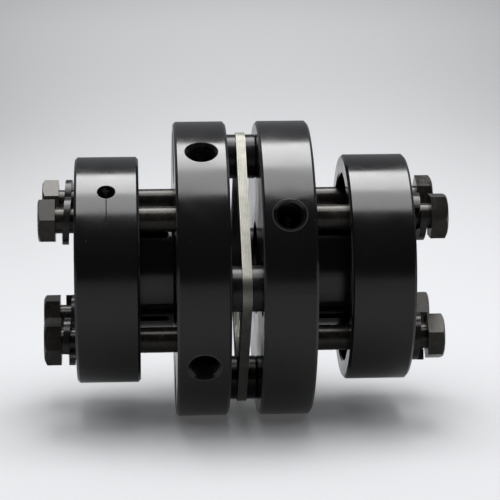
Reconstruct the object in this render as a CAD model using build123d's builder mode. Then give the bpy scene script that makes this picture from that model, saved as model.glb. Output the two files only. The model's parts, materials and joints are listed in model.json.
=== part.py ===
from build123d import *
import math
import os

# Flexible disc coupling with two clamping hubs, in millimetres.
# The origin is the middle of the disc pack and X runs along the shafts, so the left half is
# at -X and the right half at +X. Angles round the shaft start at the front (-Y) and go up
# towards +Z. A distance named without a sign is measured along X from the pack's middle.

# Disc pack: thin spring-steel blades with four lobes, stacked face to face.
blade_count = 6
blade_thickness = 0.5
lobe_count = 4
lobe_circle_radius = 36.0
lobe_radius = 7.6
lobe_hole_radius = 4.2
blade_side_radius = 34.0
blade_scallop_radius = 9.0
blade_opening_radius = 26.5

# Hubs: a thick flange with a slotted barrel that is squeezed onto the shaft.
flange_gap = 9.6
flange_radius = 47.0
flange_width = 16.5
flange_chamfer = 0.8
barrel_radius = 19.0
barrel_root_fillet = 1.0
shaft_bore_radius = 14.0
bore_chamfer = 1.0
nose_chamfer = 0.5
slot_count = 4
slot_first_angle = 45.0
slot_width = 2.7
slot_end_gap = 1.8

# Tapped holes in a flange's rim. The two hubs are the same part, turned end for end.
rim_hole_angles = (60.0, -30.0)
rim_hole_radius = 4.25
rim_hole_mouth_radius = 5.25
rim_hole_depth = 13.0
drill_point_angle = 118.0
hole_mouth_angle = 90.0

# Clamp rings: each is drawn onto the tapered nose of its barrel by four screws.
ring_gap = 11.1
ring_radius = 36.0
ring_width = 20.0
ring_chamfer = 0.8
ring_recess_radius = 30.2
ring_recess_depth = 6.0
ring_recess_chamfer = 0.5
ring_hole_angle = 52.0
ring_hole_radius = 2.5
ring_hole_mouth_radius = 2.9
ring_hole_depth = 9.0
seat_taper_angle = 6.0
seat_lead = 1.0
seat_clearance = 0.05

# Clamp screws: hexagon heads, size M8.
screw_circle_radius = 27.0
screw_radius = 4.0
screw_length = 45.0
screw_tip_chamfer = 0.9
screw_hole_radius = 4.5
hex_flat_radius = 6.5
hex_height = 5.3
hex_crown_radius = 6.1
hex_crown_angle = 30.0
thread_clearance = 0.05
clamp_tap_depth = 13.5
tapped_mouth_radius = 4.6

# Split spring washers under the clamp screws' heads, not yet squeezed flat.
washer_radius = 7.4
washer_bore_radius = 4.2
washer_thickness = 2.0
washer_rise = 2.25
washer_turn = 350.0
washer_play = 0.02
washer_drop = 0.1

# Disc screws: socket heads, size M8, reached through holes in the opposite flange.
disc_screw_length = 20.0
socket_head_radius = 6.5
socket_head_height = 8.0
socket_head_chamfer = 0.6
socket_flat_radius = 3.0
socket_depth = 4.0
collar_radius = 7.0
collar_thickness = 4.3
collar_chamfer = 0.4
disc_tap_depth = 13.0
access_hole_radius = 8.2
access_hole_chamfer = 0.6

# How far each clamp screw is backed off from its washer, and where a corner of its head points.
clamp_screws = {
    "left": {
        "front_top": {"backed_off": 1.6, "corner_angle": 10.0, "split_angle": 200.0},
        "back_top": {"backed_off": 1.6, "corner_angle": 25.0, "split_angle": 320.0},
        "back_bottom": {"backed_off": 1.8, "corner_angle": -5.0, "split_angle": 100.0},
        "front_bottom": {"backed_off": 0.4, "corner_angle": -10.0, "split_angle": 330.0},
    },
    "right": {
        "front_top": {"backed_off": 1.4, "corner_angle": 0.0, "split_angle": 30.0},
        "back_top": {"backed_off": 1.8, "corner_angle": 40.0, "split_angle": 250.0},
        "back_bottom": {"backed_off": 1.0, "corner_angle": 10.0, "split_angle": 160.0},
        "front_bottom": {"backed_off": 0.8, "corner_angle": 20.0, "split_angle": 290.0},
    },
}
clamp_screw_angles = {"front_top": 45.0, "back_top": 135.0, "back_bottom": 225.0, "front_bottom": -45.0}

# The left hub carries the front and back lobes, the right hub the top and bottom ones.
sides = {"left": -1, "right": 1}
lobe_angles = {"left": {"front": 0.0, "back": 180.0}, "right": {"top": 90.0, "bottom": -90.0}}

# Distances along the shaft that follow from the sizes above.
pack_face = blade_count * blade_thickness / 2
flange_inner_face = flange_gap / 2
flange_outer_face = flange_inner_face + flange_width
flange_middle = flange_inner_face + flange_width / 2
ring_inner_face = flange_outer_face + ring_gap
ring_outer_face = ring_inner_face + ring_width
ring_middle = ring_inner_face + ring_width / 2
ring_web_face = ring_inner_face + ring_recess_depth
taper_start = ring_web_face - seat_lead
barrel_end = ring_outer_face
washer_free_height = washer_thickness + washer_rise * washer_turn / 360
collar_seat = pack_face + collar_thickness


def direction(angle):
    """Unit vector square to the shaft, at an angle from the front towards the top."""
    return Vector(0, -math.cos(math.radians(angle)), math.sin(math.radians(angle)))


def across(side, distance, radius=0.0, angle=0.0):
    """Plane square to the shaft that faces outwards, away from the disc pack."""
    centre = Vector(side * distance, 0, 0) + direction(angle) * radius
    return Plane(origin=centre, x_dir=(0, -1, 0), z_dir=(side, 0, 0))


def on_rim(side, distance, radius, angle):
    """Plane that touches a rim of the given radius and faces away from the shaft."""
    centre = Vector(side * distance, 0, 0) + direction(angle) * radius
    return Plane(origin=centre, x_dir=(1, 0, 0), z_dir=direction(angle))


def seat_radius(distance):
    """Radius of the tapered barrel nose at a distance from the pack's middle."""
    return barrel_radius - (distance - taper_start) * math.tan(math.radians(seat_taper_angle))


def drill_point(radius):
    """Height of the cone that a drill leaves at the bottom of a blind hole."""
    return radius / math.tan(math.radians(drill_point_angle / 2))


def drill(plane, radius, mouth_radius, depth):
    """Cut a blind hole with a chamfered mouth and a drilled bottom into the part in hand."""
    with Locations(plane):
        CounterSinkHole(radius, mouth_radius, depth, hole_mouth_angle)
    with Locations(plane.offset(-depth - drill_point(radius) / 2)):
        Cone(0, radius, drill_point(radius), mode=Mode.SUBTRACT)


def tap(plane, depth):
    """Cut a blind hole for a screw, with a chamfered mouth, into the part in hand."""
    with Locations(plane):
        CounterSinkHole(screw_radius + thread_clearance, tapped_mouth_radius, depth, hole_mouth_angle)


# Sub-part: left hub, turned from one bar, with the flange next to the disc pack.
with BuildPart() as left_hub:
    with BuildSketch(Plane.XZ) as hub_section:
        with BuildLine():
            Polyline(
                (-flange_inner_face, shaft_bore_radius),
                (-flange_inner_face, flange_radius),
                (-flange_outer_face, flange_radius),
                (-flange_outer_face, barrel_radius),
                (-taper_start, barrel_radius),
                (-barrel_end, seat_radius(barrel_end)),
                (-barrel_end, shaft_bore_radius),
                close=True,
            )
        make_face()
        chamfer(hub_section.vertices().group_by(Axis.Y)[-1], flange_chamfer)
        chamfer(hub_section.vertices().group_by(Axis.Y)[0], bore_chamfer)
    revolve(axis=Axis.X)
    barrel_root = left_hub.edges().filter_by(GeomType.CIRCLE).filter_by(
        lambda edge: abs(edge.radius - barrel_radius) < 0.01
        and abs(edge.center().X + flange_outer_face) < 0.01
    )
    fillet(barrel_root, barrel_root_fillet)
    nose_edge = left_hub.edges().filter_by(GeomType.CIRCLE).filter_by(
        lambda edge: abs(edge.radius - seat_radius(barrel_end)) < 0.01
    )
    chamfer(nose_edge, nose_chamfer)

    # Tapped holes for the clamp screws.
    for angle in clamp_screw_angles.values():
        tap(across(-1, flange_outer_face, screw_circle_radius, angle), clamp_tap_depth)

    # Tapped holes for the disc screws of this hub.
    for angle in lobe_angles["left"].values():
        tap(-across(-1, flange_inner_face, lobe_circle_radius, angle), disc_tap_depth)

    # Holes that clear the heads of the other hub's disc screws.
    for angle in lobe_angles["right"].values():
        with BuildSketch(across(-1, flange_inner_face, lobe_circle_radius, angle)):
            Circle(access_hole_radius)
        extrude(amount=flange_width, mode=Mode.SUBTRACT)
    access_edges = left_hub.edges().filter_by(GeomType.CIRCLE).filter_by(
        lambda edge: abs(edge.radius - access_hole_radius) < 0.01
    )
    chamfer(access_edges, access_hole_chamfer)

    # Tapped holes in the rim.
    for angle in rim_hole_angles:
        drill(
            on_rim(-1, flange_middle, flange_radius, angle),
            rim_hole_radius,
            rim_hole_mouth_radius,
            rim_hole_depth,
        )

    # Slots that let the barrel close on the shaft, with a round end short of the flange.
    slot_start = flange_outer_face + slot_end_gap
    slot_length = barrel_end - slot_start + slot_width
    for number in range(slot_count):
        angle = slot_first_angle + number * 360 / slot_count
        with BuildSketch(on_rim(-1, slot_start + slot_length / 2, 0, angle)):
            SlotOverall(slot_length, slot_width)
        extrude(amount=barrel_radius + barrel_root_fillet, mode=Mode.SUBTRACT)
left_hub.part.label = "left_hub"

# Sub-part: right hub, the same part turned end for end about an axis midway between two lobes.
end_for_end = Axis((0, 0, 0), direction(45))
right_hub_turned = left_hub.part.rotate(end_for_end, 180)
with BuildPart() as right_hub:
    add(right_hub_turned)
right_hub.part.label = "right_hub"

# Sub-part: left clamp ring, with a recess towards the flange and a tapered bore behind it.
with BuildPart() as left_clamp_ring:
    with BuildSketch(Plane.XZ) as ring_section:
        with BuildLine():
            Polyline(
                (-ring_inner_face, ring_recess_radius),
                (-ring_inner_face, ring_radius),
                (-ring_outer_face, ring_radius),
                (-ring_outer_face, seat_radius(ring_outer_face) + seat_clearance),
                (-ring_web_face, seat_radius(ring_web_face) + seat_clearance),
                (-ring_web_face, ring_recess_radius),
                close=True,
            )
        make_face()
        chamfer(ring_section.vertices().group_by(Axis.Y)[-1], ring_chamfer)
    revolve(axis=Axis.X)
    recess_edge = left_clamp_ring.edges().filter_by(GeomType.CIRCLE).filter_by(
        lambda edge: abs(edge.radius - ring_recess_radius) < 0.01
        and abs(edge.center().X + ring_inner_face) < 0.01
    )
    chamfer(recess_edge, ring_recess_chamfer)
    for angle in clamp_screw_angles.values():
        with BuildSketch(across(-1, ring_inner_face, screw_circle_radius, angle)):
            Circle(screw_hole_radius)
        extrude(amount=ring_width, mode=Mode.SUBTRACT)
    drill(
        on_rim(-1, ring_middle, ring_radius, ring_hole_angle),
        ring_hole_radius,
        ring_hole_mouth_radius,
        ring_hole_depth,
    )
left_clamp_ring.part.label = "left_clamp_ring"

# Sub-part: right clamp ring, the same part turned half a turn about the vertical.
right_ring_turned = left_clamp_ring.part.rotate(Axis.Z, 180)
with BuildPart() as right_clamp_ring:
    add(right_ring_turned)
right_clamp_ring.part.label = "right_clamp_ring"

os.makedirs("parts", exist_ok=True)
export_step(left_hub.part, "parts/left_hub.step")
export_step(right_hub.part, "parts/right_hub.step")
export_step(left_clamp_ring.part, "parts/left_clamp_ring.step")
export_step(right_clamp_ring.part, "parts/right_clamp_ring.step")


def clamp_screw(name, side, angle, backed_off, corner_angle):
    """Hexagon screw with a crowned head, a plain shank and a chamfered tip."""
    seat_distance = ring_outer_face + washer_play + washer_free_height + backed_off
    seat = across(side, seat_distance, screw_circle_radius, angle)
    clear_radius = 2 * hex_flat_radius
    crown_drop = (clear_radius - hex_crown_radius) * math.tan(math.radians(hex_crown_angle))
    with BuildPart() as screw:
        with BuildSketch(seat):
            RegularPolygon(hex_flat_radius, 6, major_radius=False, rotation=-side * corner_angle)
        extrude(amount=hex_height)
        with BuildSketch(Plane(origin=seat.origin, x_dir=(side, 0, 0), z_dir=(0, -1, 0))):
            with BuildLine():
                Polyline(
                    (0, 0),
                    (0, clear_radius),
                    (hex_height - crown_drop, clear_radius),
                    (hex_height, hex_crown_radius),
                    (hex_height, 0),
                    close=True,
                )
            make_face()
        revolve(axis=Axis(seat.origin, (side, 0, 0)), mode=Mode.INTERSECT)
        with BuildSketch(seat):
            Circle(screw_radius)
        extrude(amount=-screw_length)
        tip = screw.faces().sort_by(Axis((0, 0, 0), (side, 0, 0)))[0]
        chamfer(tip.edges(), screw_tip_chamfer)
    screw.part.label = name
    export_step(screw.part, f"parts/{name}.step")


def disc_screw(name, side, angle):
    """Socket-head screw that holds one lobe of the disc pack to the flange on the given side."""
    seat = across(-side, collar_seat, lobe_circle_radius, angle)
    with BuildPart() as screw:
        with BuildSketch(seat):
            Circle(socket_head_radius)
        extrude(amount=socket_head_height)
        head_face = screw.faces().sort_by(Axis((0, 0, 0), (-side, 0, 0)))[-1]
        chamfer(head_face.edges(), socket_head_chamfer)
        with BuildSketch(seat.offset(socket_head_height)):
            RegularPolygon(socket_flat_radius, 6, major_radius=False)
        extrude(amount=-socket_depth, mode=Mode.SUBTRACT)
        with BuildSketch(seat):
            Circle(screw_radius)
        extrude(amount=-disc_screw_length)
        tip = screw.faces().sort_by(Axis((0, 0, 0), (side, 0, 0)))[-1]
        chamfer(tip.edges(), screw_tip_chamfer)
    screw.part.label = name
    export_step(screw.part, f"parts/{name}.step")


def collar(name, side, angle, thickness):
    """Round spacer on a disc screw, between a face of the disc pack and what clamps it."""
    with BuildPart() as ring:
        with BuildSketch(across(side, pack_face, lobe_circle_radius, angle)):
            Circle(collar_radius)
            Circle(lobe_hole_radius, mode=Mode.SUBTRACT)
        extrude(amount=thickness)
        far_face = ring.faces().filter_by(Axis.X).sort_by(Axis((0, 0, 0), (side, 0, 0)))[-1]
        chamfer(far_face.edges().sort_by(SortBy.LENGTH)[-1], collar_chamfer)
    ring.part.label = name
    export_step(ring.part, f"parts/{name}.step")


# Sub-part: one split spring washer, a single turn of square-edged spring wire about its own Z.
with BuildPart() as spring_washer:
    washer_middle_radius = (washer_radius + washer_bore_radius) / 2
    with BuildLine():
        coil = Helix(
            washer_rise, washer_rise * washer_turn / 360, washer_middle_radius, lefthand=True
        )
    with BuildSketch(Plane(origin=coil @ 0, x_dir=(1, 0, 0), z_dir=coil % 0)):
        Rectangle(washer_radius - washer_bore_radius, washer_thickness)
    sweep(path=coil, is_frenet=True)


def washer_on_screw(name, side, angle, split_angle):
    """Spring washer that hangs on a clamp screw against the outer face of a clamp ring."""
    centre_distance = ring_outer_face + washer_play + washer_thickness / 2
    seat = across(side, centre_distance, screw_circle_radius, angle)
    seat.origin -= Vector(0, 0, washer_drop)
    with BuildPart() as washer:
        with Locations(seat):
            add(spring_washer.part, rotation=(0, 0, -side * split_angle))
    washer.part.label = name
    export_step(washer.part, f"parts/{name}.step")


# Sub-parts: clamp screws and their spring washers.
for side_name, side in sides.items():
    for place, setting in clamp_screws[side_name].items():
        angle = clamp_screw_angles[place]
        clamp_screw(
            f"{side_name}_clamp_screw_{place}", side, angle, setting["backed_off"], setting["corner_angle"]
        )
        washer_on_screw(f"{side_name}_spring_washer_{place}", side, angle, setting["split_angle"])

# Sub-parts: disc screws, with a spacer bush on the flange side and a collar under the head.
for side_name, side in sides.items():
    for place, angle in lobe_angles[side_name].items():
        disc_screw(f"disc_screw_{place}", side, angle)
        collar(f"spacer_bush_{place}", side, angle, flange_inner_face - pack_face)
        collar(f"screw_collar_{place}", -side, angle, collar_thickness)

# Sub-parts: the blades of the disc pack.
for number in range(blade_count):
    blade_face = -pack_face + number * blade_thickness
    with BuildPart() as blade:
        with BuildSketch(Plane.YZ.offset(blade_face)) as outline:
            Circle(blade_side_radius)
            with PolarLocations(lobe_circle_radius, lobe_count):
                Circle(lobe_radius)
            waist = outline.vertices().filter_by(
                lambda vertex: abs(Vector(vertex).length - blade_side_radius) < 0.01
            )
            fillet(waist, blade_scallop_radius)
            Circle(blade_opening_radius, mode=Mode.SUBTRACT)
            with PolarLocations(lobe_circle_radius, lobe_count):
                Circle(lobe_hole_radius, mode=Mode.SUBTRACT)
        extrude(amount=blade_thickness)
    blade.part.label = f"disc_blade_{number + 1}"
    export_step(blade.part, f"parts/disc_blade_{number + 1}.step")
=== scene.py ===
import bmesh
import bpy
import json
import math
from mathutils import Matrix, Vector


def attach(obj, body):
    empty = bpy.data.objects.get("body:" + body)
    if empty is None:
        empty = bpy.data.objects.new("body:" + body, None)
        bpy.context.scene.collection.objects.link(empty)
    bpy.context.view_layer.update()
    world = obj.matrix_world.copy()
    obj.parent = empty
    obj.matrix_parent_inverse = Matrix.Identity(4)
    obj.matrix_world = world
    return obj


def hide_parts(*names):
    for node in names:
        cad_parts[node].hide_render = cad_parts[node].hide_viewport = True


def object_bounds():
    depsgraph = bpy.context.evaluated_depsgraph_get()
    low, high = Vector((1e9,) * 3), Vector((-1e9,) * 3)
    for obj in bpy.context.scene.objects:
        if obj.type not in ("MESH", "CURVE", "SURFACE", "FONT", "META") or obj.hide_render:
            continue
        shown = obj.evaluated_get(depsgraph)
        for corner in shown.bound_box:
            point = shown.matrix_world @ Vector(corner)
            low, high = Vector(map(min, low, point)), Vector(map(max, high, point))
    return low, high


# A disc coupling lying on a pale table: blackened steel hubs and clamp rings, a bright disc pack.
# The shafts run along X and -Y is the front. Lengths in the dictionaries are in millimetres, but
# those of the floor and the lamps are in metres.

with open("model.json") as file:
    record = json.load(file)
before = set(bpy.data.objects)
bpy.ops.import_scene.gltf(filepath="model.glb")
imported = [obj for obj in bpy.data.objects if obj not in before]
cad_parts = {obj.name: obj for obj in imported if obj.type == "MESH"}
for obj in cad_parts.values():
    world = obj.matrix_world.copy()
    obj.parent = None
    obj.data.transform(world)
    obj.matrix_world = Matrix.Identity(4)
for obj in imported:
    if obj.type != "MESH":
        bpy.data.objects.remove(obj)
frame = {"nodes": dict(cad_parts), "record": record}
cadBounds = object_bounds()
print("frame loaded:", len(frame["nodes"]), "nodes")

mm = 0.001
scene = bpy.context.scene
scene.view_settings.view_transform = "Standard"


# ---- camera

camera = {
    "azimuth": -2.85,  # degrees, from straight in front towards the left
    "elevation": 10.3,
    "distance": 700.0,
    "seenWidth": 160.4,  # what fills the picture at that distance
    "aimRight": 3.05,  # the aim point, from the middle of the disc pack
    "aimUp": 5.7,
    "roll": -0.25,
    "sensor": 36.0,
    "clipNear": 50.0,
    "clipFar": 50000.0,
}


def addCamera(settings):
    azimuth = math.radians(settings["azimuth"])
    elevation = math.radians(settings["elevation"])
    towards = Vector((
        math.sin(azimuth) * math.cos(elevation),
        -math.cos(azimuth) * math.cos(elevation),
        math.sin(elevation),
    ))
    right = Vector((math.cos(azimuth), math.sin(azimuth), 0))
    up = towards.cross(right)
    position = towards * settings["distance"] * mm
    aim = (right * settings["aimRight"] + up * settings["aimUp"]) * mm
    data = bpy.data.cameras.new("studioCamera")
    data.sensor_width = settings["sensor"]
    data.lens = settings["sensor"] * settings["distance"] / settings["seenWidth"]
    data.clip_start = settings["clipNear"] * mm
    data.clip_end = settings["clipFar"] * mm
    thing = bpy.data.objects.new("studioCamera", data)
    scene.collection.objects.link(thing)
    look = (position - aim).to_track_quat("Z", "Y").to_matrix().to_4x4()
    roll = Matrix.Rotation(math.radians(settings["roll"]), 4, "Z")
    thing.matrix_world = Matrix.Translation(position) @ look @ roll
    scene.camera = thing


addCamera(camera)


# ---- material helpers

def hexColour(text):
    # sRGB hex to the linear colour that a shader wants
    channels = [int(text[i:i + 2], 16) / 255 for i in (0, 2, 4)]
    linear = [c / 12.92 if c <= 0.04045 else ((c + 0.055) / 1.055) ** 2.4 for c in channels]
    return (*linear, 1.0)


def addNode(tree, kind, inputs=None, **settings):
    # an input is a value, a socket, or a node that gives its first output
    node = tree.nodes.new(kind)
    for name, value in settings.items():
        setattr(node, name, value)
    for name, value in (inputs or {}).items():
        if isinstance(value, bpy.types.Node):
            value = value.outputs[0]
        if isinstance(value, bpy.types.NodeSocket):
            tree.links.new(value, node.inputs[name])
        else:
            node.inputs[name].default_value = value
    return node


def newMaterial(name):
    material = bpy.data.materials.new(name)
    material.use_nodes = True
    material.node_tree.nodes.clear()
    return material, material.node_tree


def finishMaterial(tree, **inputs):
    # the shader's sockets, with an underscore for a space
    named = {name.replace("_", " "): value for name, value in inputs.items()}
    shader = addNode(tree, "ShaderNodeBsdfPrincipled", named)
    addNode(tree, "ShaderNodeOutputMaterial", {"Surface": shader})


def blend(tree, share, first, second):
    # two shares that make one
    rest = addNode(tree, "ShaderNodeMath", {0: second, 1: 1 - share}, operation="MULTIPLY")
    part = addNode(tree, "ShaderNodeMath", {0: first, 1: share}, operation="MULTIPLY")
    return addNode(tree, "ShaderNodeMath", {0: part, 1: rest}, operation="ADD")


def rise(tree, value, start, gain):
    # nothing up to the start, then steeply up to one
    above = addNode(tree, "ShaderNodeMath", {0: value, 1: start}, operation="SUBTRACT")
    return addNode(tree, "ShaderNodeMath", {0: above, 1: gain}, operation="MULTIPLY", use_clamp=True)


def smoothBand(tree, value, middle, halfWidth):
    # one at the middle, falling to nothing at half a width away
    off = addNode(tree, "ShaderNodeMath", {0: value, 1: middle}, operation="SUBTRACT")
    off = addNode(tree, "ShaderNodeMath", {0: off}, operation="ABSOLUTE")
    off = addNode(tree, "ShaderNodeMath", {0: off, 1: halfWidth}, operation="DIVIDE")
    return addNode(tree, "ShaderNodeMath", {0: 1.0, 1: off}, operation="SUBTRACT", use_clamp=True)


def fromTo(source, target):
    # the ends of a Map Range node's two ranges
    return {"From Min": source[0], "From Max": source[1], "To Min": target[0], "To Max": target[1]}


# ---- turned steel of the hubs and rings

turnedSteel = {
    "colour": "0b0b0c",
    "bareColour": "55565a",
    "roughness": (0.12, 0.26),
    "grooveSpacing": 0.35,  # a real feed mark is finer, drawn coarse enough to show
    "grooveDepth": 0.0034,
    "grooveDetail": {"Detail": 4.0, "Roughness": 0.65},
    "smudgeSize": 14.3,
    "smudgeDetail": {"Detail": 6.0, "Roughness": 0.6},
    "speckSize": 1.11,
    "speckDetail": {"Detail": 3.0},
    "grooveShare": 0.35,  # of the unevenness in roughness, the rest being smudges
    "unevenRange": (0.35, 0.65),
    "edgeWidth": 0.55,  # bare metal each side of a worn corner
    "rimDepth": 1.4,  # how far in from the rim a corner may be worn
    "mouthWidth": 0.22,  # bare metal each side of a countersink's edge
    "wornFrom": 0.42,
    "wornGain": 5.0,
    "wornShare": 0.7,
    "speckFrom": 0.7,
    "speckGain": 9.0,
    "speckShare": 0.35,
    "speckHeight": 0.5,
    "scribeHeight": 30.0,
    "bumpStrength": 0.7,
}
rims = {
    # a rim's radius and faces, and the place along the shaft and sizes of the threaded holes in it
    "hub": {
        "radius": 47.0, "faces": (4.8, 21.3), "along": 13.05,
        "mouth": 5.25, "core": 4.25, "pitch": 1.5, "deep": 13.0,
    },
    "ring": {
        "radius": 36.0, "faces": (32.4, 52.4), "along": 42.4,
        "mouth": 2.9, "core": 2.5, "pitch": 1.0, "deep": 9.0,
    },
}
scribedLine = {"distance": 42.4, "from": 33.0, "to": 49.0, "halfWidth": 0.16, "endSharpness": 8.0}
turnedNodes = {
    # each node's material, its side and the angles of its holes from the front
    "left_hub": {
        "steel": "leftHubSteel", "rim": "hub", "side": -1,
        "holes": {"leftHubThreadTop": 60, "leftHubThreadLow": -30},
    },
    "right_hub": {
        "steel": "rightHubSteel", "rim": "hub", "side": 1,
        "holes": {"rightHubThreadFront": 30, "rightHubThreadBack": 120},
    },
    "left_clamp_ring": {
        "steel": "leftRingSteel", "rim": "ring", "side": -1,
        "holes": {"leftRingThread": 52}, "scribe": scribedLine,
    },
    "right_clamp_ring": {
        "steel": "rightRingSteel", "rim": "ring", "side": 1,
        "holes": {"rightRingThread": 128},
    },
}


def outwardAt(degrees):
    # the direction away from the shaft at an angle from the front
    angle = math.radians(degrees)
    return Vector((0, -math.cos(angle), math.sin(angle)))


def shaftPlace(tree):
    # the place on a piece, its distance along the shaft and its radius and angle round the shaft
    place = addNode(tree, "ShaderNodeTexCoord").outputs["Object"]
    split = addNode(tree, "ShaderNodeSeparateXYZ", {"Vector": place})
    across = addNode(tree, "ShaderNodeCombineXYZ", {"Y": split.outputs["Y"], "Z": split.outputs["Z"]})
    radius = addNode(tree, "ShaderNodeVectorMath", {0: across}, operation="LENGTH").outputs["Value"]
    front = addNode(tree, "ShaderNodeMath", {0: split.outputs["Y"], 1: -1.0}, operation="MULTIPLY")
    angle = addNode(tree, "ShaderNodeMath", {0: split.outputs["Z"], 1: front}, operation="ARCTAN2")
    return place, split.outputs["X"], radius, angle


def mouthWearMask(tree, place, part, rim, width):
    # a thin ring round the mouth of each hole that is drilled square to the shaft
    middle = (-part["side"] * rim["along"] * mm, 0, 0)
    centred = addNode(tree, "ShaderNodeVectorMath", {0: place, 1: middle}, operation="ADD")
    mask = None
    for degrees in part["holes"].values():
        outward = outwardAt(degrees)
        flat = addNode(tree, "ShaderNodeVectorMath", {0: centred, 1: outward}, operation="CROSS_PRODUCT")
        reach = addNode(tree, "ShaderNodeVectorMath", {0: flat}, operation="LENGTH").outputs["Value"]
        height = addNode(tree, "ShaderNodeVectorMath", {0: centred, 1: outward}, operation="DOT_PRODUCT")
        near = addNode(tree, "ShaderNodeMath", {0: height.outputs["Value"], 1: 0.0}, operation="GREATER_THAN")
        ring = smoothBand(tree, reach, rim["mouth"] * mm, width * mm)
        ring = addNode(tree, "ShaderNodeMath", {0: ring, 1: near}, operation="MULTIPLY")
        if mask is None:
            mask = ring
        else:
            mask = addNode(tree, "ShaderNodeMath", {0: mask, 1: ring}, operation="MAXIMUM")
    return mask


def cornerWearMask(tree, distance, radius, rim, values):
    # bands along the rim's two corners
    onRim = (rim["radius"] - values["rimDepth"]) * mm
    inRange = addNode(tree, "ShaderNodeMath", {0: radius, 1: onRim}, operation="GREATER_THAN")
    inner, outer = (smoothBand(tree, distance, face * mm, values["edgeWidth"] * mm) for face in rim["faces"])
    either = addNode(tree, "ShaderNodeMath", {0: inner, 1: outer}, operation="MAXIMUM")
    return addNode(tree, "ShaderNodeMath", {0: either, 1: inRange}, operation="MULTIPLY")


def scribeMask(tree, distance, angle, scribe):
    # a line along the rim, cut to a span of angles
    middle = math.radians((scribe["from"] + scribe["to"]) / 2)
    reach = math.radians((scribe["to"] - scribe["from"]) / 2)
    line = smoothBand(tree, distance, scribe["distance"] * mm, scribe["halfWidth"] * mm)
    span = rise(tree, smoothBand(tree, angle, middle, reach), 0.0, scribe["endSharpness"])
    return addNode(tree, "ShaderNodeMath", {0: line, 1: span}, operation="MULTIPLY")


def blackOxideTurned(part, values):
    # turned steel, hot blackened and oiled: nearly black and satin, with fine rings round the shaft,
    # scattered specks of oil and dust, and bare metal along its rubbed corners
    material, tree = newMaterial(part["steel"])
    rim = rims[part["rim"]]
    place, along, radius, angle = shaftPlace(tree)
    distance = addNode(tree, "ShaderNodeMath", {0: along}, operation="ABSOLUTE")
    feed = addNode(tree, "ShaderNodeMath", {0: along, 1: radius}, operation="ADD")
    grooves = addNode(
        tree, "ShaderNodeTexNoise",
        {"W": feed, "Scale": 1 / (values["grooveSpacing"] * mm), **values["grooveDetail"]},
        noise_dimensions="1D",
    )
    smudge = addNode(
        tree, "ShaderNodeTexNoise",
        {"Vector": place, "Scale": 1 / (values["smudgeSize"] * mm), **values["smudgeDetail"]},
    )
    grain = addNode(
        tree, "ShaderNodeTexNoise",
        {"Vector": place, "Scale": 1 / (values["speckSize"] * mm), **values["speckDetail"]},
    )
    uneven = blend(tree, values["grooveShare"], grooves, smudge)
    ranges = fromTo(values["unevenRange"], values["roughness"])
    roughness = addNode(tree, "ShaderNodeMapRange", {"Value": uneven, **ranges})

    worn = cornerWearMask(tree, distance, radius, rim, values)
    patchy = rise(tree, smudge, values["wornFrom"], values["wornGain"])
    worn = addNode(tree, "ShaderNodeMath", {0: worn, 1: patchy}, operation="MULTIPLY")
    mouths = mouthWearMask(tree, place, part, rim, values["mouthWidth"])
    worn = addNode(tree, "ShaderNodeMath", {0: worn, 1: mouths}, operation="MAXIMUM")
    worn = addNode(tree, "ShaderNodeMath", {0: worn, 1: values["wornShare"]}, operation="MULTIPLY")
    speck = rise(tree, grain, values["speckFrom"], values["speckGain"])
    speck = addNode(tree, "ShaderNodeMath", {0: speck, 1: values["speckShare"]}, operation="MULTIPLY")
    bare = addNode(tree, "ShaderNodeMath", {0: worn, 1: speck}, operation="MAXIMUM")
    colour = addNode(
        tree, "ShaderNodeMix",
        {0: bare, 6: hexColour(values["colour"]), 7: hexColour(values["bareColour"])},
        data_type="RGBA",
    ).outputs[2]

    bumps = addNode(tree, "ShaderNodeMath", {0: grain, 1: values["speckHeight"]}, operation="MULTIPLY")
    height = addNode(tree, "ShaderNodeMath", {0: grooves, 1: bumps}, operation="ADD")
    if "scribe" in part:
        cut = scribeMask(tree, distance, angle, part["scribe"])
        cut = addNode(tree, "ShaderNodeMath", {0: cut, 1: values["scribeHeight"]}, operation="MULTIPLY")
        height = addNode(tree, "ShaderNodeMath", {0: height, 1: cut}, operation="SUBTRACT")
    bump = addNode(
        tree, "ShaderNodeBump",
        {"Height": height, "Strength": values["bumpStrength"], "Distance": values["grooveDepth"] * mm},
    )
    finishMaterial(tree, Base_Color=colour, Roughness=roughness, Normal=bump, Metallic=worn)
    return material


# ---- forged and drawn steel of the small parts

forgedDetail = {
    "patchSize": 3.85,
    "patchDetail": {"Detail": 5.0, "Roughness": 0.6},
    "grainSize": 0.667,
    "grainDetail": {"Detail": 3.0},
    "grainShare": 0.4,
    "stainFrom": 0.4,
    "stainGain": 4.0,
    "patchRange": (0.3, 0.7),
    "bumpStrength": 0.5,
    "metallic": 0.6,
}
screwFinish = {"colour": "22211f", "stain": "302d28", "roughness": (0.18, 0.32), "grain": 0.02}
washerFinish = {"colour": "1f1f1f", "stain": "2a2826", "roughness": (0.2, 0.34), "grain": 0.02}
spacerFinish = {"colour": "1b1b1c", "stain": "232324", "roughness": (0.2, 0.32), "grain": 0.01}


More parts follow.
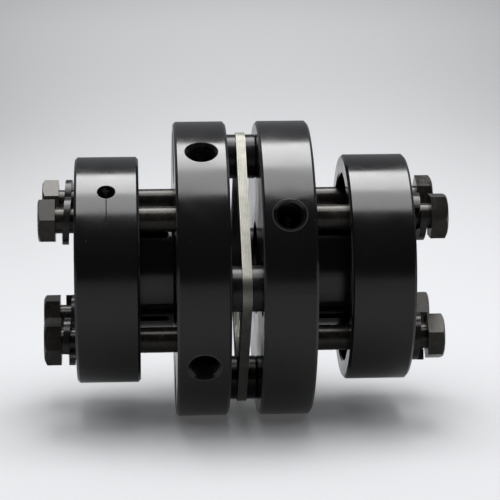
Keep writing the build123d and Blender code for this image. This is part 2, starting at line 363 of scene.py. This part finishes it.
def forgedSteel(name, finish, values):
    # forged or wire-drawn steel with a blackened skin: an orange-peel grain and browner, duller patches
    material, tree = newMaterial(name)
    place = addNode(tree, "ShaderNodeTexCoord").outputs["Object"]
    patches = addNode(
        tree, "ShaderNodeTexNoise",
        {"Vector": place, "Scale": 1 / (values["patchSize"] * mm), **values["patchDetail"]},
    )
    grain = addNode(
        tree, "ShaderNodeTexNoise",
        {"Vector": place, "Scale": 1 / (values["grainSize"] * mm), **values["grainDetail"]},
    )
    stain = rise(tree, patches, values["stainFrom"], values["stainGain"])
    colour = addNode(
        tree, "ShaderNodeMix",
        {0: stain, 6: hexColour(finish["colour"]), 7: hexColour(finish["stain"])},
        data_type="RGBA",
    ).outputs[2]
    ranges = fromTo(values["patchRange"], finish["roughness"])
    roughness = addNode(tree, "ShaderNodeMapRange", {"Value": patches, **ranges})
    bumps = addNode(tree, "ShaderNodeMath", {0: grain, 1: values["grainShare"]}, operation="MULTIPLY")
    height = addNode(tree, "ShaderNodeMath", {0: patches, 1: bumps}, operation="ADD")
    bump = addNode(
        tree, "ShaderNodeBump",
        {"Height": height, "Strength": values["bumpStrength"], "Distance": finish["grain"] * mm},
    )
    finishMaterial(
        tree, Base_Color=colour, Roughness=roughness, Normal=bump, Metallic=values["metallic"]
    )
    return material


# ---- rolled stainless steel of the blades

bladeFinish = {
    "dull": "7c7b74",
    "bright": "a3a29a",
    "face": "43433f",
    "roughness": 0.5,
    "lineSpacing": 0.2,
    "lineDetail": {"Detail": 4.0, "Roughness": 0.7},
    "lineShare": 0.4,
    "stainSize": 5.26,
    "stainDetail": {"Detail": 5.0, "Roughness": 0.65},
    "brightFrom": 0.35,
    "brightGain": 3.0,
    "faceFrom": 0.9,
    "bumpStrength": 0.6,
    "grain": 0.02,
}


def rolledStainless(name, values):
    # cold-rolled strip: darker flat faces, and cut edges drawn into fine lines that run along each blade
    material, tree = newMaterial(name)
    place = addNode(tree, "ShaderNodeTexCoord").outputs["Object"]
    along = addNode(tree, "ShaderNodeSeparateXYZ", {"Vector": place}).outputs["X"]
    layers = addNode(
        tree, "ShaderNodeTexNoise",
        {"W": along, "Scale": 1 / (values["lineSpacing"] * mm), **values["lineDetail"]},
        noise_dimensions="1D",
    )
    stains = addNode(
        tree, "ShaderNodeTexNoise",
        {"Vector": place, "Scale": 1 / (values["stainSize"] * mm), **values["stainDetail"]},
    )
    mixed = blend(tree, values["lineShare"], layers, stains)
    shade = rise(tree, mixed, values["brightFrom"], values["brightGain"])
    edgeColour = addNode(
        tree, "ShaderNodeMix",
        {0: shade, 6: hexColour(values["dull"]), 7: hexColour(values["bright"])},
        data_type="RGBA",
    ).outputs[2]
    normal = addNode(tree, "ShaderNodeNewGeometry").outputs["Normal"]
    facing = addNode(tree, "ShaderNodeSeparateXYZ", {"Vector": normal}).outputs["X"]
    facing = addNode(tree, "ShaderNodeMath", {0: facing}, operation="ABSOLUTE")
    flat = addNode(tree, "ShaderNodeMath", {0: facing, 1: values["faceFrom"]}, operation="GREATER_THAN")
    colour = addNode(
        tree, "ShaderNodeMix", {0: flat, 6: edgeColour, 7: hexColour(values["face"])}, data_type="RGBA"
    ).outputs[2]
    bump = addNode(
        tree, "ShaderNodeBump",
        {"Height": mixed, "Strength": values["bumpStrength"], "Distance": values["grain"] * mm},
    )
    finishMaterial(tree, Base_Color=colour, Roughness=values["roughness"], Normal=bump, Metallic=1.0)
    return material


# ---- materials given to the nodes

turnedMaterials = {name: blackOxideTurned(part, turnedSteel) for name, part in turnedNodes.items()}
bladeSteel = rolledStainless("rolledStainlessSteel", bladeFinish)
slotMaterials = {
    "black_screw_steel": forgedSteel("forgedBlackScrewSteel", screwFinish, forgedDetail),
    "black_spring_steel": forgedSteel("blackSpringSteel", washerFinish, forgedDetail),
    "black_socket_screw_steel": forgedSteel("blackSocketScrewSteel", spacerFinish, forgedDetail),
    "spacer_steel": forgedSteel("blackSpacerSteel", spacerFinish, forgedDetail),
    "stainless_blade": bladeSteel,
}
nodeSlots = {part["node"]: part["material_slot"] for part in frame["record"]["subparts"]}
for nodeName, node in frame["nodes"].items():
    node.data.materials.clear()
    node.data.materials.append(turnedMaterials.get(nodeName) or slotMaterials[nodeSlots[nodeName]])
print("materials given")


# ---- softened corners on the small steel parts

cornerRounding = {"clamp_screw": 0.16, "spring_washer": 0.14, "disc_screw": 0.1}
roundedFrom = 25  # degrees between two faces
roundingSegments = 2
for nodeName, node in frame["nodes"].items():
    for kind, width in cornerRounding.items():
        if kind in nodeName:
            rounding = node.modifiers.new("roundedCorners", "BEVEL")
            rounding.width = width * mm
            rounding.segments = roundingSegments
            rounding.limit_method = "ANGLE"
            rounding.angle_limit = math.radians(roundedFrom)
            rounding.harden_normals = True
print("corners rounded")


# ---- pieces of the scene's own

def addPiece(name, mesh, material, replaced=()):
    bmesh.ops.recalc_face_normals(mesh, faces=mesh.faces)
    data = bpy.data.meshes.new(name)
    mesh.to_mesh(data)
    mesh.free()
    data.materials.append(material)
    piece = bpy.data.objects.new(name, data)
    scene.collection.objects.link(piece)
    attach(piece, "root")
    for nodeName in replaced:
        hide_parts(nodeName)
    return piece


blades = {
    "count": 6,
    "thickness": 0.5,
    "lobeCircle": 36.0,
    "lobeRadius": 7.6,
    "screwHole": 4.2,
    "opening": 26.5,
    "lobes": 4,
    "lobeSteps": 20,
    "holeSteps": 32,
    "openingSteps": 96,
    "edgeRounding": 0.07,
    "roundedFrom": 60,  # degrees between two faces
    "sharpFrom": 50,
    "faceFrom": 0.9,  # a face turned this far along the shaft is flat, not an edge
}


def circlePoints(centre, radius, start, sweep, steps):
    turns = [start + sweep * i / steps for i in range(steps + (abs(sweep) < 2 * math.pi))]
    return [(centre[0] + radius * math.cos(t), centre[1] + radius * math.sin(t)) for t in turns]


def addBlade(number, values):
    # a square with a round corner at each screw, its sides the straight lines that touch two corners
    mesh = bmesh.new()
    quarter = 2 * math.pi / values["lobes"]
    outline = []
    opening = circlePoints((0, 0), values["opening"], 0, 2 * math.pi, values["openingSteps"])
    loops = [outline, opening]
    for lobe in range(values["lobes"]):
        turn = lobe * quarter
        centre = (values["lobeCircle"] * math.cos(turn), values["lobeCircle"] * math.sin(turn))
        outline += circlePoints(
            centre, values["lobeRadius"], turn - quarter / 2, quarter, values["lobeSteps"]
        )
        loops.append(circlePoints(centre, values["screwHole"], 0, 2 * math.pi, values["holeSteps"]))
    near = (number - values["count"] / 2) * values["thickness"] * mm
    edges = []
    for loop in loops:
        verts = [mesh.verts.new((near, y * mm, z * mm)) for y, z in loop]
        edges += [mesh.edges.new((verts[i - 1], verts[i])) for i in range(len(verts))]
    bmesh.ops.triangle_fill(mesh, use_beauty=True, use_dissolve=False, edges=edges)
    grown = bmesh.ops.extrude_face_region(mesh, geom=mesh.faces[:])
    moved = [v for v in grown["geom"] if isinstance(v, bmesh.types.BMVert)]
    bmesh.ops.translate(mesh, verts=moved, vec=(values["thickness"] * mm, 0, 0))
    bmesh.ops.recalc_face_normals(mesh, faces=mesh.faces)
    turnedBy = math.radians(values["roundedFrom"])
    sharp = [e for e in mesh.edges if len(e.link_faces) == 2 and e.calc_face_angle(0) > turnedBy]
    bmesh.ops.bevel(
        mesh, geom=sharp, offset=values["edgeRounding"] * mm, segments=2, profile=0.5, affect="EDGES",
        material=-1,
    )
    for face in mesh.faces:
        face.smooth = abs(face.normal.x) < values["faceFrom"]
    piece = addPiece(
        f"discBlade{number + 1}", mesh, bladeSteel, [f"disc_blade_{number + 1}"]
    )
    piece.data.set_sharp_from_angle(angle=math.radians(values["sharpFrom"]))


for bladeNumber in range(blades["count"]):
    addBlade(bladeNumber, blades)
print("blades made")

threadShape = {
    "mouth": 1.3,  # left plain under the countersink
    "stepsPerTurn": 32,
    "ridge": 0.28,  # the ridge's height and half width, as shares of the pitch
    "halfWidth": 0.42,
    "sunk": 0.05,  # how far the ridge's foot stands in the wall
    "sharpFrom": 35,
}


def addThread(name, rim, side, degrees, material, values):
    # a helical ridge that stands in from the wall of a drilled hole
    mesh = bmesh.new()
    pitch = rim["pitch"]
    half = pitch * values["halfWidth"]
    foot = rim["core"] + values["sunk"]
    profile = [(foot, -half), (rim["core"] - pitch * values["ridge"], 0), (foot, half)]
    face = mesh.faces.new([mesh.verts.new((r * mm, 0, h * mm)) for r, h in profile])
    turns = (rim["deep"] - values["mouth"] - pitch) / pitch
    steps = int(turns * values["stepsPerTurn"])
    bmesh.ops.spin(
        mesh, geom=[face, *face.edges, *face.verts], cent=(0, 0, 0), axis=(0, 0, 1),
        dvec=(0, 0, -pitch * mm / values["stepsPerTurn"]),
        angle=2 * math.pi * steps / values["stepsPerTurn"], steps=steps,
        use_merge=False, use_duplicate=False,
    )
    outward = outwardAt(degrees)
    start = outward * (rim["radius"] - values["mouth"]) * mm
    start.x = side * rim["along"] * mm
    turn = outward.to_track_quat("Z", "X").to_matrix().to_4x4()
    bmesh.ops.transform(mesh, matrix=Matrix.Translation(start) @ turn, verts=mesh.verts)
    for wall in mesh.faces:
        wall.smooth = True
    piece = addPiece(name, mesh, material)
    piece.data.set_sharp_from_angle(angle=math.radians(values["sharpFrom"]))


for nodeName, part in turnedNodes.items():
    for threadName, holeAngle in part["holes"].items():
        addThread(
            threadName, rims[part["rim"]], part["side"], holeAngle,
            turnedMaterials[nodeName], threadShape,
        )
print("threads made")


# ---- floor, light and surroundings

floorSettings = {
    "size": 8.0,
    "colour": "97989a",
    "roughness": 0.7,
    "specular": 0.15,
    "mirroredFrontShade": 0.55,  # painted shade: how bright the floor before the coupling looks in its reflections, darkened there as if less light fell on it
    "mirroredRange": (-0.02, 0.25),
    "glowColour": "fcfdff",
    "glowRange": (0.1, 1.9),  # how far behind the coupling the far light starts, and is full
    "glow": (0.07, 0.23),
    "sideFall": 0.2,  # how much darker the far floor is at the edges of the view
    "sideSpread": 0.013,
    "sideMost": 1.2,
    "farRange": (0.1, 0.8),
    "viewDepth": 0.7,
    "viewTurn": -0.04,
}


def sideShade(tree, split, values):
    # one in the middle of the view, and darker to its sides on the far floor
    depth = addNode(tree, "ShaderNodeMath", {0: split.outputs["Y"], 1: values["viewDepth"]}, operation="ADD")
    off = addNode(tree, "ShaderNodeMath", {0: split.outputs["X"], 1: depth}, operation="DIVIDE")
    off = addNode(tree, "ShaderNodeMath", {0: off, 1: values["viewTurn"]}, operation="ADD")
    off = addNode(tree, "ShaderNodeMath", {0: off, 1: off}, operation="MULTIPLY")
    off = addNode(tree, "ShaderNodeMath", {0: off, 1: values["sideSpread"]}, operation="DIVIDE")
    off = addNode(tree, "ShaderNodeMath", {0: off, 1: values["sideMost"]}, operation="MINIMUM")
    ranges = fromTo(values["farRange"], (0.0, 1.0))
    far = addNode(tree, "ShaderNodeMapRange", {"Value": split.outputs["Y"], **ranges})
    off = addNode(tree, "ShaderNodeMath", {0: off, 1: far}, operation="MULTIPLY")
    off = addNode(
        tree, "ShaderNodeMath", {0: off, 1: values["sideFall"]}, operation="MULTIPLY", use_clamp=True
    )
    return addNode(tree, "ShaderNodeMath", {0: 1.0, 1: off}, operation="SUBTRACT")


def paleTable(values):
    # a matt painted table top with an even, pale look, and a far part that seems lit from behind; painted
    # shade darkens its far sides, and its front part where the coupling's reflections show it
    material, tree = newMaterial("paleTable")
    place = addNode(tree, "ShaderNodeTexCoord").outputs["Object"]
    split = addNode(tree, "ShaderNodeSeparateXYZ", {"Vector": place})
    rays = addNode(tree, "ShaderNodeLightPath").outputs
    depth = split.outputs["Y"]
    ranges = fromTo(values["glowRange"], values["glow"])
    glow = addNode(
        tree, "ShaderNodeMapRange", {"Value": depth, **ranges}, interpolation_type="SMOOTHSTEP"
    )
    seen = addNode(
        tree, "ShaderNodeMath", {0: rays["Is Camera Ray"], 1: rays["Is Glossy Ray"]}, operation="MAXIMUM"
    )
    seen = addNode(tree, "ShaderNodeMath", {0: seen, 1: rays["Is Transmission Ray"]}, operation="MAXIMUM")
    lit = sideShade(tree, split, values)
    # painted shade: in glossy rays the floor before the coupling is darker, standing in for light that falls
    # off towards the front
    ranges = fromTo(values["mirroredRange"], (values["mirroredFrontShade"], 1.0))
    front = addNode(tree, "ShaderNodeMapRange", {"Value": depth, **ranges})
    paintedShade = addNode(tree, "ShaderNodeMix", {0: rays["Is Glossy Ray"], 2: 1.0, 3: front})
    paintedShade = addNode(tree, "ShaderNodeMath", {0: paintedShade, 1: lit}, operation="MULTIPLY")
    pale = hexColour(values["colour"])[:3]
    colour = addNode(tree, "ShaderNodeVectorMath", {0: pale, 3: paintedShade}, operation="SCALE")
    strength = addNode(tree, "ShaderNodeMath", {0: glow, 1: seen}, operation="MULTIPLY")
    strength = addNode(tree, "ShaderNodeMath", {0: strength, 1: lit}, operation="MULTIPLY")
    finishMaterial(
        tree, Base_Color=colour, Roughness=values["roughness"], Specular_IOR_Level=values["specular"],
        Emission_Color=hexColour(values["glowColour"]), Emission_Strength=strength,
    )
    return material


def addFloor(values):
    mesh = bmesh.new()
    bmesh.ops.create_grid(mesh, x_segments=1, y_segments=1, size=values["size"] / 2)
    data = bpy.data.meshes.new("tableTop")
    mesh.to_mesh(data)
    mesh.free()
    data.materials.append(paleTable(values))
    floor = bpy.data.objects.new("tableTop", data)
    floor.location.z = cadBounds[0][2]
    scene.collection.objects.link(floor)


addFloor(floorSettings)

# Places and sizes in metres, power in watts. Each lamp shines straight down.
lamps = {
    "softboxBack": {"at": (0.03, 0.25, 0.8), "size": (0.5, 0.46), "power": 8.0, "mirrored": True},
    "ceiling": {"at": (0.0, 0.0, 2.2), "size": (6.0, 6.0), "power": 215.0, "mirrored": False},
    "softboxFront": {"at": (0.03, -0.16, 0.8), "size": (0.5, 0.36), "power": 3.0, "mirrored": True},
}


def addLamp(name, values):
    data = bpy.data.lights.new(name, "AREA")
    data.shape = "RECTANGLE"
    data.size, data.size_y = values["size"]
    data.energy = values["power"]
    lamp = bpy.data.objects.new(name, data)
    scene.collection.objects.link(lamp)
    lamp.location = values["at"]
    lamp.visible_glossy = values["mirrored"]


for lampName, lampValues in lamps.items():
    addLamp(lampName, lampValues)

surroundings = {"colour": "f9fcff", "strength": (0.02, 0.24), "riseRange": (0.0, 0.9)}


def addWorld(values):
    # a dark room before the table and a paler wall behind it
    world = bpy.data.worlds.new("studio")
    scene.world = world
    world.use_nodes = True
    tree = world.node_tree
    tree.nodes.clear()
    towards = addNode(tree, "ShaderNodeTexCoord").outputs["Generated"]
    back = addNode(tree, "ShaderNodeSeparateXYZ", {"Vector": towards}).outputs["Y"]
    ranges = fromTo(values["riseRange"], values["strength"])
    strength = addNode(
        tree, "ShaderNodeMapRange", {"Value": back, **ranges}, interpolation_type="SMOOTHSTEP"
    )
    background = addNode(
        tree, "ShaderNodeBackground", {"Color": hexColour(values["colour"]), "Strength": strength}
    )
    addNode(tree, "ShaderNodeOutputWorld", {"Surface": background})


addWorld(surroundings)
print("floor and light made")
